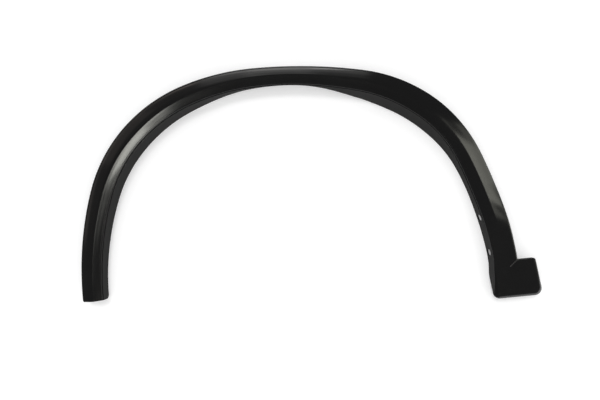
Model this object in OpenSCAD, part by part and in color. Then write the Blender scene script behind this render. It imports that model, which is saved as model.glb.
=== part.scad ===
// Wheel arch trim for the front left wheel of a compact car, moulded in one piece of black plastic.
// It lies face up: X runs along the car towards its rear, Y up the car's side, Z outwards from it.
// The arch is drawn about the wheel's axis, then set down on the middle of its own outline, at Z = 0.

/* [Outer edge] */
// Height of the top of the arch above the wheel's axis
crown_h = 424.5; // [400:0.5:450]
// Distance of the top of the arch ahead of the wheel's axis
crown_ahead = 43; // [20:1:80]
// Radius of the outer edge ahead of the top
front_crown_r = 460; // [380:5:520]
// Angle that the edge turns through ahead of the top
front_crown_a = 17.5; // [14:0.1:22]
// Radius of the outer edge at the front shoulder
front_shoulder_r = 305; // [280:5:320]
// Angle that the front shoulder turns through
front_shoulder_a = 51.9; // [47:0.1:57]
// Radius of the outer edge down the front leg
front_leg_r = 610; // [450:10:800]
// Height of the front end above the wheel's axis
front_end_h = 7; // [-30:0.5:50]
// Radius of the outer edge behind the top
rear_crown_r = 990; // [950:10:1200]
// Angle that the edge turns through behind the top
rear_crown_a = 12.4; // [9:0.1:15]
// Radius of the outer edge at the rear shoulder
rear_shoulder_r = 305; // [275:5:315]
// Angle that the rear shoulder turns through
rear_shoulder_a = 55.3; // [48:0.1:58]
// Radius of the outer edge down the rear leg
rear_leg_r = 685; // [500:5:800]
// Height above the wheel's axis where the rear leg meets the foot
rear_end_h = 10.5; // [-10:0.5:50]

/* [Face] */
// Width of the outer band, from the outer edge to the crease, at the front end
outer_band_front = 23.5; // [18:0.5:32]
// Width of the outer band at the front shoulder
outer_band_front_shoulder = 28; // [18:0.5:34]
// Width of the outer band at the crown
outer_band_crown = 18; // [12:0.5:26]
// Width of the outer band at the rear shoulder
outer_band_rear_shoulder = 27.5; // [18:0.5:34]
// Width of the outer band on the rear leg
outer_band_rear_leg = 25; // [18:0.5:32]
// Width of the outer band at the foot
outer_band_foot = 21; // [15:0.5:30]
// Width of the inner band, from the crease to the flange, at the front end
inner_band_front = 15.5; // [11:0.5:24]
// Width of the inner band at the front shoulder
inner_band_front_shoulder = 14.5; // [11:0.5:24]
// Width of the inner band at the crown
inner_band_crown = 17; // [11:0.5:26]
// Width of the inner band at the rear shoulder
inner_band_rear_shoulder = 18.5; // [14:0.5:28]
// Width of the inner band on the rear leg
inner_band_rear_leg = 22; // [14:0.5:30]
// Width of the inner band at the foot
inner_band_foot = 25.5; // [18:0.5:34]
// How far the outer edge lies below the crease
outer_band_drop = 7; // [3:0.5:10]
// How far the inner edge lies below the crease
inner_band_drop = 7; // [3:0.5:10]
// Bulge of each band above a straight line
band_bulge = 0.8; // [0.1:0.1:1.5]
// Half the width of the crease's rounded top
crease_half_w = 1.2; // [0.5:0.1:2.5]
// Radius of the rolled edges
edge_r = 3; // [2:0.25:4]

/* [Heights] */
// Height of the crease at the front end
crease_front = 34.5; // [30:0.5:42]
// Height of the crease at the front shoulder
crease_front_shoulder = 46.5; // [42:0.5:54]
// Height of the crease at the crown
crease_crown = 46.5; // [42:0.5:54]
// Height of the crease at the rear shoulder
crease_rear_shoulder = 47; // [42:0.5:54]
// Height of the crease on the rear leg
crease_rear_leg = 33; // [28:0.5:38]
// Height of the foot's flat face
foot_h = 31; // [28:0.5:40]

/* [Walls and flange] */
// Wall thickness
wall = 2.8; // [2:0.1:3.5]
// Thickness of the flange at its free edge
flange_edge = 1.6; // [1.2:0.1:2.8]
// Depth of the lip along the outer edge
lip = 7; // [5:0.5:10]
// Lean of the flange into the wheel opening at the front end
flange_lean_front = 7; // [2:0.5:10]
// Lean of the flange at the front shoulder
flange_lean_front_shoulder = 9.5; // [2:0.5:12]
// Lean of the flange at the crown
flange_lean_crown = 2; // [-2:0.5:6]
// Lean of the flange behind the crown
flange_lean_haunch = 16; // [6:0.5:20]
// Lean of the flange at the rear shoulder
flange_lean_rear_shoulder = 13.5; // [4:0.5:16]
// Lean of the flange on the rear leg
flange_lean_rear_leg = 5; // [2:0.5:10]
// Lean of the flange at the foot
flange_lean_foot = 2; // [0:0.5:6]
// Length of the shallow stretch of flange at the crown
cutaway_l = 460; // [350:10:500]
// Distance of the middle of that stretch behind the top of the arch
cutaway_back = 70; // [50:5:100]
// How far the flange's free edge rises there
cutaway_h = 29.5; // [10:0.5:31]
// Radius of the flange's corner at the front end
flange_corner_r = 14; // [4:1:20]
// Radius of the face's corner at the front end
face_corner_r = 5; // [2:0.5:8]
// Rounding of the face's end edge
end_edge_r = 1.5; // [0.5:0.1:1.6]
// Depth of the fine groove between the face and the flange
groove_d = 1; // [0.4:0.1:1.2]
// Width of that groove
groove_w = 1.6; // [1:0.1:2.5]

/* [Foot] */
// Length of the foot's top edge, from the notch to the corner
ear_l = 31.5; // [22:0.5:50]
// Drop from the top edge to the bottom edge
foot_drop = 73.5; // [60:0.5:95]
// Slant of the rear edge
rear_edge_a = 8.8; // [2:0.2:14]
// Slant of the edge on the wheel's side
wheel_edge_a = 3.6; // [0:0.2:8]
// Radius of the notch where the leg meets the foot
notch_r = 3; // [2:0.5:6]
// Length of the fine raised line that runs from the notch into the face
mitre_l = 20; // [10:1:22]
// Slope of that line below the level
mitre_a = 38; // [25:1:50]
// Height of that line above the face
mitre_h = 0.4; // [0.2:0.1:0.6]
// Radius of the corner at the top
ear_r = 4.25; // [4.25:0.25:10]
// Radius of the rear bottom corner
rear_corner_r = 14; // [10:0.5:20]
// Radius of the front bottom corner
front_corner_r = 11; // [9:0.5:16]
// Radius of the rolled edge at the bottom of the foot
foot_edge_r = 6.5; // [3:0.5:8]
// Depth of the foot's rim
rim = 12; // [9:0.5:16]
// Height over which the wall on the wheel's side sweeps up into the rim
wall_sweep = 46; // [30:1:60]

/* [Fixings] */
// Diameter of the fixing holes in the rear flange
hole_d = 14; // [8:0.5:16]
// Height of the fixing holes above the flange's free edge
hole_h = 13; // [10:0.5:15]
// Distance of the lower fixing hole from the end of the leg
lower_hole_back = 15; // [10:1:40]
// Distance between the two fixing holes
hole_pitch = 80; // [40:1:110]
// Number of clip towers behind the arch
clip_count = 8; // [4:1:10]
// Distance of the end towers from the ends of the arch
clip_end = 62; // [50:1:90]
// Side of each clip tower
clip_side = 16; // [13:0.5:18]
// Depth of each clip tower below the face
clip_depth = 13; // [9:0.5:15]
// Thickness of the towers and ribs
rib_t = 2; // [1.5:0.1:3]
// Diameter of the hole that holds a clip
clip_hole_d = 8; // [7:0.25:9]
// Width of the slot that a clip slides in by
clip_slot_w = 5; // [4:0.25:5]
// Number of cross ribs between one clip tower and the next
ribs_between = 2; // [1:1:4]
// Diameter of the locating pins
pin_d = 6; // [4:0.25:8]
// Length of the locating pins below their bosses
pin_l = 10; // [6:0.5:12]
// Length of the bosses that carry the pins
pin_boss_l = 6; // [4:0.5:8]
// Rim of each boss round its pin
pin_boss_rim = 2; // [1:0.25:3]

/* [Hidden] */

station_gap = 19;   // longest step between two stations along the outer edge
corner_steps = 6;   // steps round a corner of the foot
fan_l = 60;         // stretch over which the sections turn level with an end
foot_fade = 110;    // stretch over which the bands flatten towards the foot
foot_flat = 50;     // length of the flat end of the leg
rear_leg_up = 150;  // way from the foot up to where the sizes of the rear leg hold
sweep_start = 4;    // way from the foot's bottom edge to where that wall starts to sweep
corner_fill = 0.25; // how far the underside fills its corners, against the rolled edge's radius
groove_slope = 0.3; // share of the groove's width that its upper side takes
bite = 1.1;         // how far ribs and towers reach into the wall
rib_back = 1;       // how far ribs stand back from the edge of a lip
rib_share = 0.5;    // share of the flange's height that the cross ribs brace
tower_gap = 6;      // gap between the foot's clip tower and the ribs round it
rear_pin_back = 29; // way of the rear pin behind the middle of the rear shoulder
mitre_r = 1.2;      // radius of the fine raised line, most of which lies in the wall
hole_cut = 17;      // length of the cut that makes a fixing hole
black = [0.11, 0.11, 0.115];
$fn = 48;

function dir(a) = [cos(a), sin(a)];
function soft(t) = let(c = max(0, min(1, t))) c * c * (3 - 2 * c);
// Value at the way s between stops of [way, value], easing from each stop to the next
function ease(s, stops, k = 0) =
    k == len(stops) - 2 || s < stops[k + 1][0]
        ? let(a = stops[k], b = stops[k + 1]) a[1] + (b[1] - a[1]) * soft((s - a[0]) / (b[0] - a[0]))
        : ease(s, stops, k + 1);
function total(list, k = 0) = k == len(list) ? 0 : list[k] + total(list, k + 1);

// The outer edge is a chain of tangent arcs, so the direction it faces gives the place along it.
crown = [-crown_ahead, crown_h];
front_crown_c = crown - front_crown_r * dir(90);
front_shoulder_c = front_crown_c + (front_crown_r - front_shoulder_r) * dir(90 + front_crown_a);
front_turn = 90 + front_crown_a + front_shoulder_a;
front_leg_c = front_shoulder_c + (front_shoulder_r - front_leg_r) * dir(front_turn);
front_end_a = 180 - asin((front_end_h - front_leg_c.y) / front_leg_r);
rear_crown_c = crown - rear_crown_r * dir(90);
rear_shoulder_c = rear_crown_c + (rear_crown_r - rear_shoulder_r) * dir(90 - rear_crown_a);
rear_turn = 90 - rear_crown_a - rear_shoulder_a;
rear_leg_c = rear_shoulder_c + (rear_shoulder_r - rear_leg_r) * dir(rear_turn);
rear_end_a = asin((rear_end_h - rear_leg_c.y) / rear_leg_r);

// Each arc as [centre, radius, angle it starts at, angle it ends at], from the front end to the foot
arcs = [
    [front_leg_c, front_leg_r, front_end_a, front_turn],
    [front_shoulder_c, front_shoulder_r, front_turn, 90 + front_crown_a],
    [front_crown_c, front_crown_r, 90 + front_crown_a, 90],
    [rear_crown_c, rear_crown_r, 90, 90 - rear_crown_a],
    [rear_shoulder_c, rear_shoulder_r, 90 - rear_crown_a, rear_turn],
    [rear_leg_c, rear_leg_r, rear_turn, rear_end_a]
];
arc_l = [for (a = arcs) a[1] * (a[2] - a[3]) * PI / 180];
arc_start = [for (k = [0:len(arcs)]) total([for (j = [0:1:k - 1]) arc_l[j]])];
edge_l = arc_start[len(arcs)];

// Angle that the outer edge faces, and the place, at the way s
function arc_at(s, k = 0) = k == len(arcs) - 1 || s < arc_start[k + 1] ? k : arc_at(s, k + 1);
function facing(s) = let(k = arc_at(s), a = arcs[k]) a[2] - (s - arc_start[k]) / a[1] * 180 / PI;
function place(s) = let(a = arcs[arc_at(s)]) a[0] + a[1] * dir(facing(s));
// Angle that a section runs at, across the band: square to the edge, but level at both ends
function across(s) =
    let(a = facing(s) - 180) s < edge_l / 2 ? a * soft(s / fan_l) : a - (a + 180) * soft((s - edge_l + fan_l) / fan_l);

// Ways of the places where the sizes are given
front_shoulder_s = arc_start[1] + arc_l[1] / 2;
haunch_s = arc_start[4];
crown_s = arc_start[3] + cutaway_back;
rear_shoulder_s = haunch_s + arc_l[4] / 2;
rear_leg_s = edge_l - rear_leg_up;

function along(s, front, front_shoulder, top, rear_shoulder, rear_leg, foot) = ease(s, [
    [0, front], [front_shoulder_s, front_shoulder], [crown_s, top],
    [rear_shoulder_s, rear_shoulder], [rear_leg_s, rear_leg], [edge_l, foot]
]);
function outer_w(s) = along(s, outer_band_front, outer_band_front_shoulder, outer_band_crown,
    outer_band_rear_shoulder, outer_band_rear_leg, outer_band_foot);
function inner_w(s) = along(s, inner_band_front, inner_band_front_shoulder, inner_band_crown,
    inner_band_rear_shoulder, inner_band_rear_leg, inner_band_foot);
function crease_z(s) = along(s, crease_front, crease_front_shoulder, crease_crown,
    crease_rear_shoulder, crease_rear_leg, foot_h);
function tilt_left(s) = 1 - soft((s - edge_l + foot_flat + foot_fade) / foot_fade);
function groove_cut(s) = groove_d * tilt_left(s);
function outer_z(s) = crease_z(s) - outer_band_drop * tilt_left(s);
function inner_z(s) = crease_z(s) - inner_band_drop * tilt_left(s);
// How far a round corner of radius r has drawn in, at the distance s from the end
function drawn_in(s, r) = s >= r ? 0 : r - sqrt(r * r - (r - s) * (r - s));
function free_z(s) = let(t = min(1, abs(s - crown_s) / (cutaway_l / 2)))
    cutaway_h * pow(cos(90 * t), 2) + drawn_in(s, flange_corner_r);
function lean_a(s) = ease(s, [
    [0, flange_lean_front], [front_shoulder_s, flange_lean_front_shoulder], [crown_s, flange_lean_crown],
    [haunch_s, flange_lean_haunch], [rear_shoulder_s, flange_lean_rear_shoulder],
    [rear_leg_s, flange_lean_rear_leg], [edge_l, flange_lean_foot]
]);
function lean(s) = (inner_z(s) - free_z(s)) * tan(lean_a(s));

// Rolled edge and wall as [distance across, height], from the corner under the face down and round the outside
// to the top. x: outside of the wall, way: 1 or -1 to the inside, top and bottom: heights, r: rolled edge,
// edge: thickness at the bottom, out: how far the bottom leans out, cut: groove depth, rise: how much the
// underside gains on the face there
function wall_points(x, way, top, bottom, r, edge, out, cut, rise) = [
    [x + way * (wall + corner_fill * r), top - wall + rise],
    [x + way * (edge - out), bottom],
    [x - way * out, bottom],
    [x + way * cut, top - r - groove_w],
    [x + way * cut, top - r - groove_slope * groove_w],
    [x, top - r],
    [x + way * r * (1 - cos(45)), top - r * (1 - sin(45))],
    [x + way * r, top]
];
wall_count = 8;
first_face_point = 6;   // from this one on they lie on the face

// One closed section at the way s: outer wall, outer band, crease, inner band, inner wall, underside of the crease
function outer_rise(s) = (crease_z(s) - outer_z(s)) / outer_w(s) * wall;
function inner_rise(s) = (crease_z(s) - inner_z(s)) / inner_w(s) * wall;
function section(s) =
    let(c = outer_w(s), w = c + inner_w(s), zc = crease_z(s), zo = outer_z(s), zi = inner_z(s),
        k = crease_half_w, bulge = band_bulge * tilt_left(s),
        end = drawn_in(s, end_edge_r), side = drawn_in(s, face_corner_r),
        outer = wall_points(side, 1, zo, zo - lip, edge_r, wall, 0, 0, outer_rise(s)),
        inner = wall_points(w, -1, zi, free_z(s), edge_r, flange_edge, lean(s), groove_cut(s), inner_rise(s)))
    concat([for (j = [0:wall_count - 1]) outer[j] - [0, j < first_face_point ? 0 : end]], [
        [(edge_r + c - k) / 2, (zo + zc) / 2 + bulge - end],
        [c - k, zc - k * (zc - zo) / c - end],
        [c + k, zc - k * (zc - zi) / (w - c) - end],
        [(c + k + w - edge_r) / 2, (zc + zi) / 2 + bulge - end]
    ], [for (j = [wall_count - 1:-1:0]) inner[j] - [0, j < first_face_point ? 0 : end]], [[c, zc - wall]]);

function lift(s, p) = let(q = place(s) + p.x * dir(across(s))) [q.x, q.y, p.y];

// Closer steps over the round corners of the front end, then even ones along each arc
end_stations = [0, 0.4, 1.2, 3, 6, 10];
stations = concat(end_stations, [for (k = [0:len(arcs) - 1]) let(n = ceil(arc_l[k] / station_gap))
    for (j = [k == 0 ? 1 : 0:n - 1]) arc_start[k] + arc_l[k] * j / n], [edge_l]);

// The foot's outline as [place, direction it faces], from the notch round to the wheel's side
leg_end = place(edge_l);
wheel_end = leg_end - [outer_w(edge_l) + inner_w(edge_l), 0];
notch_c = leg_end + notch_r * dir(rear_end_a);
foot_top = notch_c.y - notch_r;
foot_bottom = foot_top - foot_drop;
ear = [notch_c.x + ear_l, foot_top];
// Each straight edge as [direction it faces, distance from the wheel's axis along that direction]
top_line = [90, foot_top];
rear_line = [rear_edge_a, ear * dir(rear_edge_a)];
bottom_line = [-90, -foot_bottom];
wheel_line = [-180 - wheel_edge_a, wheel_end * dir(-180 - wheel_edge_a)];
function meet(a, b, r) =
    let(n = dir(a[0]), m = dir(b[0]), p = a[1] - r, q = b[1] - r, det = n.x * m.y - n.y * m.x)
    [(p * m.y - q * n.y) / det, (q * n.x - p * m.x) / det];
function corner(a, b, r) = let(c = meet(a, b, r))
    [for (k = [0:corner_steps]) let(t = a[0] + (b[0] - a[0]) * k / corner_steps) [c + r * dir(t), t]];
rear_corner = corner(rear_line, bottom_line, rear_corner_r);
front_corner = corner(bottom_line, wheel_line, front_corner_r);
notch_steps = 4;
wheel_steps = 6;
wheel_start = front_corner[corner_steps][0];
rim_path = concat(
    [for (k = [1:notch_steps]) let(t = rear_end_a + (90 - rear_end_a) * k / notch_steps) [notch_c - notch_r * dir(t), t]],
    corner(top_line, rear_line, ear_r), rear_corner, front_corner,
    [for (k = [1:wheel_steps - 1]) [wheel_start + (wheel_end - wheel_start) * k / wheel_steps, wheel_line[0]]]
);
function on_wheel_side(a) = a < bottom_line[0];
function rim_bottom(p, a) = let(z = foot_h - rim)
    on_wheel_side(a) ? z * (1 - soft((p.y - foot_bottom - sweep_start) / wall_sweep)) : z;
function rim_edge(a) = on_wheel_side(a) ? flange_edge : wall;
function rim_r(p) = edge_r + (foot_edge_r - edge_r) * soft((foot_top - p.y) / foot_drop);
function rim_section(p, a) = [for (q = wall_points(0, 1, foot_h, rim_bottom(p, a), rim_r(p), rim_edge(a), 0, 0, 0))
    let(v = p - q.x * dir(a)) [v.x, v.y, q.y]];

// Places of the section's points in the list of points, and of the rim's
section_count = len(section(0));
last = len(stations) - 1;
rim_count = len(rim_path);
function spot(k, j) = k * section_count + j % section_count;
function rim_spot(k, j) =
    k == 0 ? spot(last, j) :
    k == rim_count + 1 ? spot(last, section_count - 2 - j) : (last + 1) * section_count + (k - 1) * wall_count + j;
function two(a, b, c, d) = [[a, b, c], [a, c, d]];

shell_points = concat(
    [for (s = stations) each [for (p = section(s)) lift(s, p)]],
    [for (r = rim_path) each rim_section(r[0], r[1])]
);
shell_faces = concat(
    [[for (j = [0:section_count - 1]) spot(0, j)]],
    [for (k = [0:last - 1]) for (j = [0:section_count - 1])
        each two(spot(k, j), spot(k + 1, j), spot(k + 1, j + 1), spot(k, j + 1))],
    [for (k = [0:rim_count]) for (j = [0:wall_count - 2])
        each two(rim_spot(k, j), rim_spot(k + 1, j), rim_spot(k + 1, j + 1), rim_spot(k, j + 1))],
    [[for (k = [1:rim_count]) rim_spot(k, wall_count - 1),
        for (j = [section_count - 1 - wall_count:-1:wall_count - 1]) spot(last, j)]],
    [[for (k = [rim_count:-1:1]) rim_spot(k, 0),
        spot(last, 0), spot(last, section_count - 1), spot(last, section_count - 2)]]
);

// Middle of the whole outline, which becomes the origin
xs = [for (p = shell_points) p.x];
ys = [for (p = shell_points) p.y];
middle = [(min(xs) + max(xs)) / 2, (min(ys) + max(ys)) / 2, 0];

module shell() {
    polyhedron(shell_points, shell_faces, convexity = 10);
}

// Draws a flat outline in the section at the way s, across the band and up, with a thickness along it
module in_section(s, along = 0, t = rib_t) {
    p = place(s);
    translate([p.x, p.y, 0]) rotate([90, 0, across(s)]) translate([0, 0, along - t / 2]) linear_extrude(t) children();
}

module cross_rib(s) {
    c = outer_w(s);
    w = c + inner_w(s) - wall + bite;
    fall = max(lip, rib_share * (inner_z(s) - free_z(s)));
    in_section(s) polygon([
        [wall - bite, outer_z(s) - lip + rib_back],
        [wall - bite, outer_z(s) - wall + bite + outer_rise(s)],
        [c, crease_z(s) - wall + bite],
        [w, inner_z(s) - wall + bite + inner_rise(s)],
        [w + fall * (lean(s) + wall - flange_edge) / (inner_z(s) - free_z(s)), inner_z(s) - fall]
    ]);
}

// Box under the face that a push-in clip slides into from the flange's side
module clip_tower(at, angle, under, left_fall, right_fall) {
    h = clip_side / 2;
    translate([at.x, at.y, 0]) rotate([0, 0, angle]) {
        for (side = [-1, 1]) translate([0, side * (h - rib_t / 2) + rib_t / 2, 0]) rotate([90, 0, 0])
            linear_extrude(rib_t) polygon([
                [-h, under - clip_depth], [-h, under + bite - left_fall * h],
                [0, under + bite], [h, under + bite - right_fall * h], [h, under - clip_depth]
            ]);
        difference() {
            translate([-h, -h, under - clip_depth]) cube([clip_side, clip_side, rib_t]);
            translate([0, 0, under - clip_depth - 1]) cylinder(h = rib_t + 2, d = clip_hole_d);
            translate([0, -clip_slot_w / 2, under - clip_depth - 1]) cube([clip_side, clip_slot_w, rib_t + 2]);
        }
    }
}

module clip_at(s) {
    c = outer_w(s);
    clip_tower(place(s) + c * dir(across(s)), across(s), crease_z(s) - wall,
        (crease_z(s) - outer_z(s)) / c, (crease_z(s) - inner_z(s)) / inner_w(s));
}

module locating_pin(s) {
    p = place(s) + outer_w(s) * dir(across(s));
    z = crease_z(s) - wall + bite;
    translate([p.x, p.y, z - pin_boss_l - pin_l]) cylinder(h = pin_boss_l + pin_l, d = pin_d);
    translate([p.x, p.y, z - pin_boss_l]) cylinder(h = pin_boss_l, d = pin_d + 2 * pin_boss_rim);
}

// Slope of the flange's outside, from the groove down to its free edge, and its place at the height of the holes
function flange_run(s) = lean(s) + groove_cut(s);
function flange_rise(s) = inner_z(s) - edge_r - groove_w - free_z(s);
function flange_a(s) = atan(flange_run(s) / flange_rise(s));
function hole_place(s) =
    let(x = outer_w(s) + inner_w(s) + lean(s) - flange_run(s) * (hole_h - free_z(s)) / flange_rise(s))
    lift(s, [x, hole_h]);

// Turns Z square to the outside of the flange, at a fixing hole
module at_hole(s) {
    translate(hole_place(s)) rotate([0, 90 - flange_a(s), across(s)]) children();
}

module flange_hole(s) {
    at_hole(s) cylinder(h = hole_cut, d = hole_d, center = true);
}

clip_gap = (edge_l - 2 * clip_end) / (clip_count - 1);
lower_hole_s = edge_l - lower_hole_back;
upper_hole_s = lower_hole_s - hole_pitch;
front_pin_s = clip_end / 2;
rear_pin_s = rear_shoulder_s + rear_pin_back;
foot_mid = [(wheel_end.x + ear.x) / 2, (foot_top + foot_bottom) / 2];

// Ribs behind the foot's face: two running up to the leg, and two across between them
module foot_ribs() {
    z = foot_h - rim + rib_back;
    h = foot_h - wall + bite - z;
    inset = wall - bite;
    off = clip_side / 2 + tower_gap;
    for (side = [-off, off]) {
        translate([foot_mid.x + side - rib_t / 2, foot_bottom + inset, z]) cube([rib_t, foot_drop - 2 * inset, h]);
        translate([foot_mid.x - off, foot_mid.y + side - rib_t / 2, z]) cube([2 * off, rib_t, h]);
    }
}

// Fine raised line on the face, from the notch towards the crease
module mitre_line() {
    translate([notch_c.x, notch_c.y, foot_h + mitre_h - mitre_r]) rotate([0, 90, 180 + mitre_a])
        translate([0, 0, notch_r + edge_r]) cylinder(h = mitre_l, r = mitre_r);
}

module arch_trim() {
    color(black) translate(-middle) difference() {
        union() {
            shell();
            for (k = [0:clip_count - 1]) clip_at(clip_end + k * clip_gap);
            for (k = [0:clip_count - 2]) for (j = [1:ribs_between])
                cross_rib(clip_end + (k + j / (ribs_between + 1)) * clip_gap);
            cross_rib(rib_t);
            locating_pin(front_pin_s);
            locating_pin(rear_pin_s);
            clip_tower(foot_mid, 0, foot_h - wall, 0, 0);
            foot_ribs();
            mitre_line();
        }
        flange_hole(upper_hole_s);
        flange_hole(lower_hole_s);
    }
}

arch_trim();
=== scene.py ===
import bpy
import numpy as np
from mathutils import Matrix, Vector


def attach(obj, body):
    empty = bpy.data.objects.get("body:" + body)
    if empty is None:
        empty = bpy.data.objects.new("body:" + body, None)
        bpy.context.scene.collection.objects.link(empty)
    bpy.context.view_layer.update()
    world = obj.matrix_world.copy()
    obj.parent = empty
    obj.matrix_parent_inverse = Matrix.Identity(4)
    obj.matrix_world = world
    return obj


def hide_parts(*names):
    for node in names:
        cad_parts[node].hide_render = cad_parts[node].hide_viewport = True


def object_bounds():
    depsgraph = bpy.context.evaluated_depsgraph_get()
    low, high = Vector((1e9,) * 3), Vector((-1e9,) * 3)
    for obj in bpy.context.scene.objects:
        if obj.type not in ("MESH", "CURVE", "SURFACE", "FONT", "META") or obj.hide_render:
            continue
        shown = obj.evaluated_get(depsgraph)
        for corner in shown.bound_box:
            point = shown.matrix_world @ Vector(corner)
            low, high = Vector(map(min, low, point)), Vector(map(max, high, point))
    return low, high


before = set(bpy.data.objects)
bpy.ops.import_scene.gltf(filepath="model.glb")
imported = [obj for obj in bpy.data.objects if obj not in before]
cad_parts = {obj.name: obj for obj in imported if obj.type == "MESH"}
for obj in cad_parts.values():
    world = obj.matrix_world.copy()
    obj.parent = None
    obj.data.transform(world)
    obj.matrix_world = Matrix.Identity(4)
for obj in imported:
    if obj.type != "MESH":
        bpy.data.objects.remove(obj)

CAD_BOX = [list(map(float, corner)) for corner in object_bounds()]
MM = 0.001
EAST, NORTH, UP = np.eye(3)

# ---------------------------------------------------------------- sizes of the moulding, in millimetres
# The outer edge, about the wheel's axis: the crown's height and how far ahead it lies, the arcs' radii and turns.
CROWN_H, CROWN_AHEAD = 424.5, 43.0
FRONT_CROWN_R, FRONT_CROWN_A = 460.0, 17.5
FRONT_SHOULDER_R, FRONT_SHOULDER_A = 305.0, 51.9
FRONT_LEG_R = 610.0
REAR_CROWN_R, REAR_CROWN_A = 990.0, 12.4
REAR_SHOULDER_R, REAR_SHOULDER_A = 305.0, 55.3
REAR_LEG_R, REAR_END_H = 685.0, 10.5

# The section, with its stops at the front end, front shoulder, crown, rear shoulder, rear leg and foot. The lean
# has one more, the haunch between the crown and the rear shoulder, and is in degrees.
CREASE_Z = (34.5, 46.5, 46.5, 47.0, 33.0, 31.0)
FLANGE_LEAN = (7.0, 9.5, 2.0, 16.0, 13.5, 5.0, 2.0)
BAND_DROP, EDGE_R, END_EDGE_R, CORNER_FILL = 7.0, 3.0, 1.5, 0.25
WALL, FLANGE_EDGE, LIP = 2.8, 1.6, 7.0
CUTAWAY_L, CUTAWAY_BACK, CUTAWAY_H = 460.0, 70.0, 29.5
GROOVE_D, GROOVE_W, GROOVE_SLOPE = 1.0, 1.6, 0.3
FAN_L, FOOT_FADE, FOOT_FLAT, REAR_LEG_UP = 60.0, 110.0, 50.0, 150.0

# The foot, from the notch round its corners to the wheel's side, and the fine raised line on it.
EAR_L, FOOT_DROP, REAR_EDGE_A, WHEEL_EDGE_A = 31.5, 73.5, 8.8, 3.6
NOTCH_R, EAR_R, REAR_CORNER_R, FRONT_CORNER_R, FOOT_EDGE_R = 3.0, 4.25, 14.0, 11.0, 8.0
RIM, WALL_SWEEP, SWEEP_START, FLAT_STRIP, LEAN_FADE = 12.0, 46.0, 4.0, 1.0, 10.0
MITRE_L, MITRE_A, MITRE_H, MITRE_R = 20.0, 38.0, 0.4, 1.2

# The fixing holes, and what stands behind the face. HAIR keeps faces that would meet in one plane apart.
HOLE_D, HOLE_H, LOWER_HOLE_BACK, HOLE_PITCH, HOLE_CUT = 14.0, 13.0, 15.0, 80.0, 17.0
CLIP_COUNT, CLIP_END, CLIP_SIDE, CLIP_DEPTH = 8, 62.0, 16.0, 13.0
RIB_T, CLIP_HOLE_D, CLIP_SLOT_W, RIBS_BETWEEN, TOWER_GAP = 2.0, 8.0, 5.0, 2, 6.0
PIN_D, PIN_L, PIN_BOSS_L, PIN_BOSS_RIM, REAR_PIN_BACK = 6.0, 10.0, 6.0, 2.0, 29.0
BITE, RIB_BACK, RIB_SHARE, HAIR = 1.1, 1.0, 0.5, 0.05
RIB_BEVEL, SEAT_BEVEL, BEVEL_ABOVE_A, SHARP_A = 0.3, 0.25, 40, 32

# Fine forms that the reflections on the face show: the bands' widths, their bulges and the crease's half width,
# the front end and its corners, the ledge under the groove, and the facet along the foot's lower edge.
OUTER_BAND = (23.5, 27.3, 18.0, 27.5, 26.0, 21.0)
INNER_BAND = (15.5, 15.2, 17.0, 18.5, 21.0, 25.5)
OUTER_BULGE = (0.8, 0.8, 0.8, 0.8, 0.25, 0.0)
INNER_BULGE = (0.35, 0.25, 0.35, 0.35, 0.35, 0.0)
CREASE_HALF_W, FRONT_END_H, FLANGE_CORNER_R, FACE_CORNER_R = 1.2, 5.0, 8.0, 4.0
LEDGE_W, LEDGE_R, FOOT_FACET, FACET_FALL = 1.2, 0.5, 0.8, 0.85

# Small rounds. First shares: of the edge's thickness at a wall's bottom, of the ledge's radius at its round's
# middle, and of the groove's depth at its sides. Then millimetres: the groove's first step, the rounds of pin and
# boss with their middle points, and the pin's tapered tip with its middle point. Last, the raised line's tips:
# the angle on the round that they start at, and how much they are drawn out.
BOTTOM_ROUND, LEDGE_ROUND, GROOVE_SIDE, GROOVE_STEP = 0.45, 0.3, 0.6, 0.1
PIN_ROUND, PIN_ROUND_OUT, PIN_ROUND_IN = 0.4, 0.12, 0.1
TIP_L, TIP_IN, TIP_MID_L, TIP_MID_IN = 1.2, 0.8, 0.5, 0.2
MITRE_TIP_A, MITRE_TIP_STRETCH = 8, 2

# How finely it is drawn: numbers of steps or points on the walls, the face, the foot's outline and round pieces.
INSIDE_N, BOTTOM_N, OUTSIDE_N, ROLL_N = 6, 3, 8, 9
BAND_N, CREASE_N, UNDER_N = 14, 6, 5
NOTCH_N, EAR_N, REAR_CORNER_N, FRONT_CORNER_N = 9, 8, 16, 14
EAR_TOP_N, REAR_EDGE_N, LOWER_EDGE_N, WHEEL_EDGE_N = 8, 14, 14, 30
ROUND_N, HOLE_N, KEYHOLE_N, MITRE_TIP_N = 40, 72, 33, 8
# the first rows, close together where the front end's corners are round, and the step between the others
END_ROWS = (0, 0.1, 0.25, 0.45, 0.7, 1.0, 1.3, 1.6, 2.0, 2.6, 3.4, 4.3, 5.4, 6.6, 8, 9.6, 11.4, 13.2, 15.2, 17.5)
ROWS_FROM, ROW_STEP = 20, 3.2


# ---------------------------------------------------------------- the outer edge, a chain of tangent arcs
def unit(angle):
    """Unit vectors at the given angles, in degrees."""
    a = np.radians(np.asarray(angle, float))
    return np.stack([np.cos(a), np.sin(a)], -1)


def soft(t):
    """Smooth step from 0 to 1: t squared times (3 - 2 t), held outside that range."""
    t = np.clip(t, 0, 1)
    return t * t * (3 - 2 * t)


def ease(s, ways, values):
    """Values at the ways s along the edge, easing by the smooth step from each stop to the next."""
    s = np.asarray(s, float)
    out = np.full_like(s, values[0])
    for a, b, u, v in zip(ways[:-1], ways[1:], values[:-1], values[1:]):
        out = np.where(s >= a, u + (v - u) * soft((s - a) / (b - a)), out)
    return out


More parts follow.
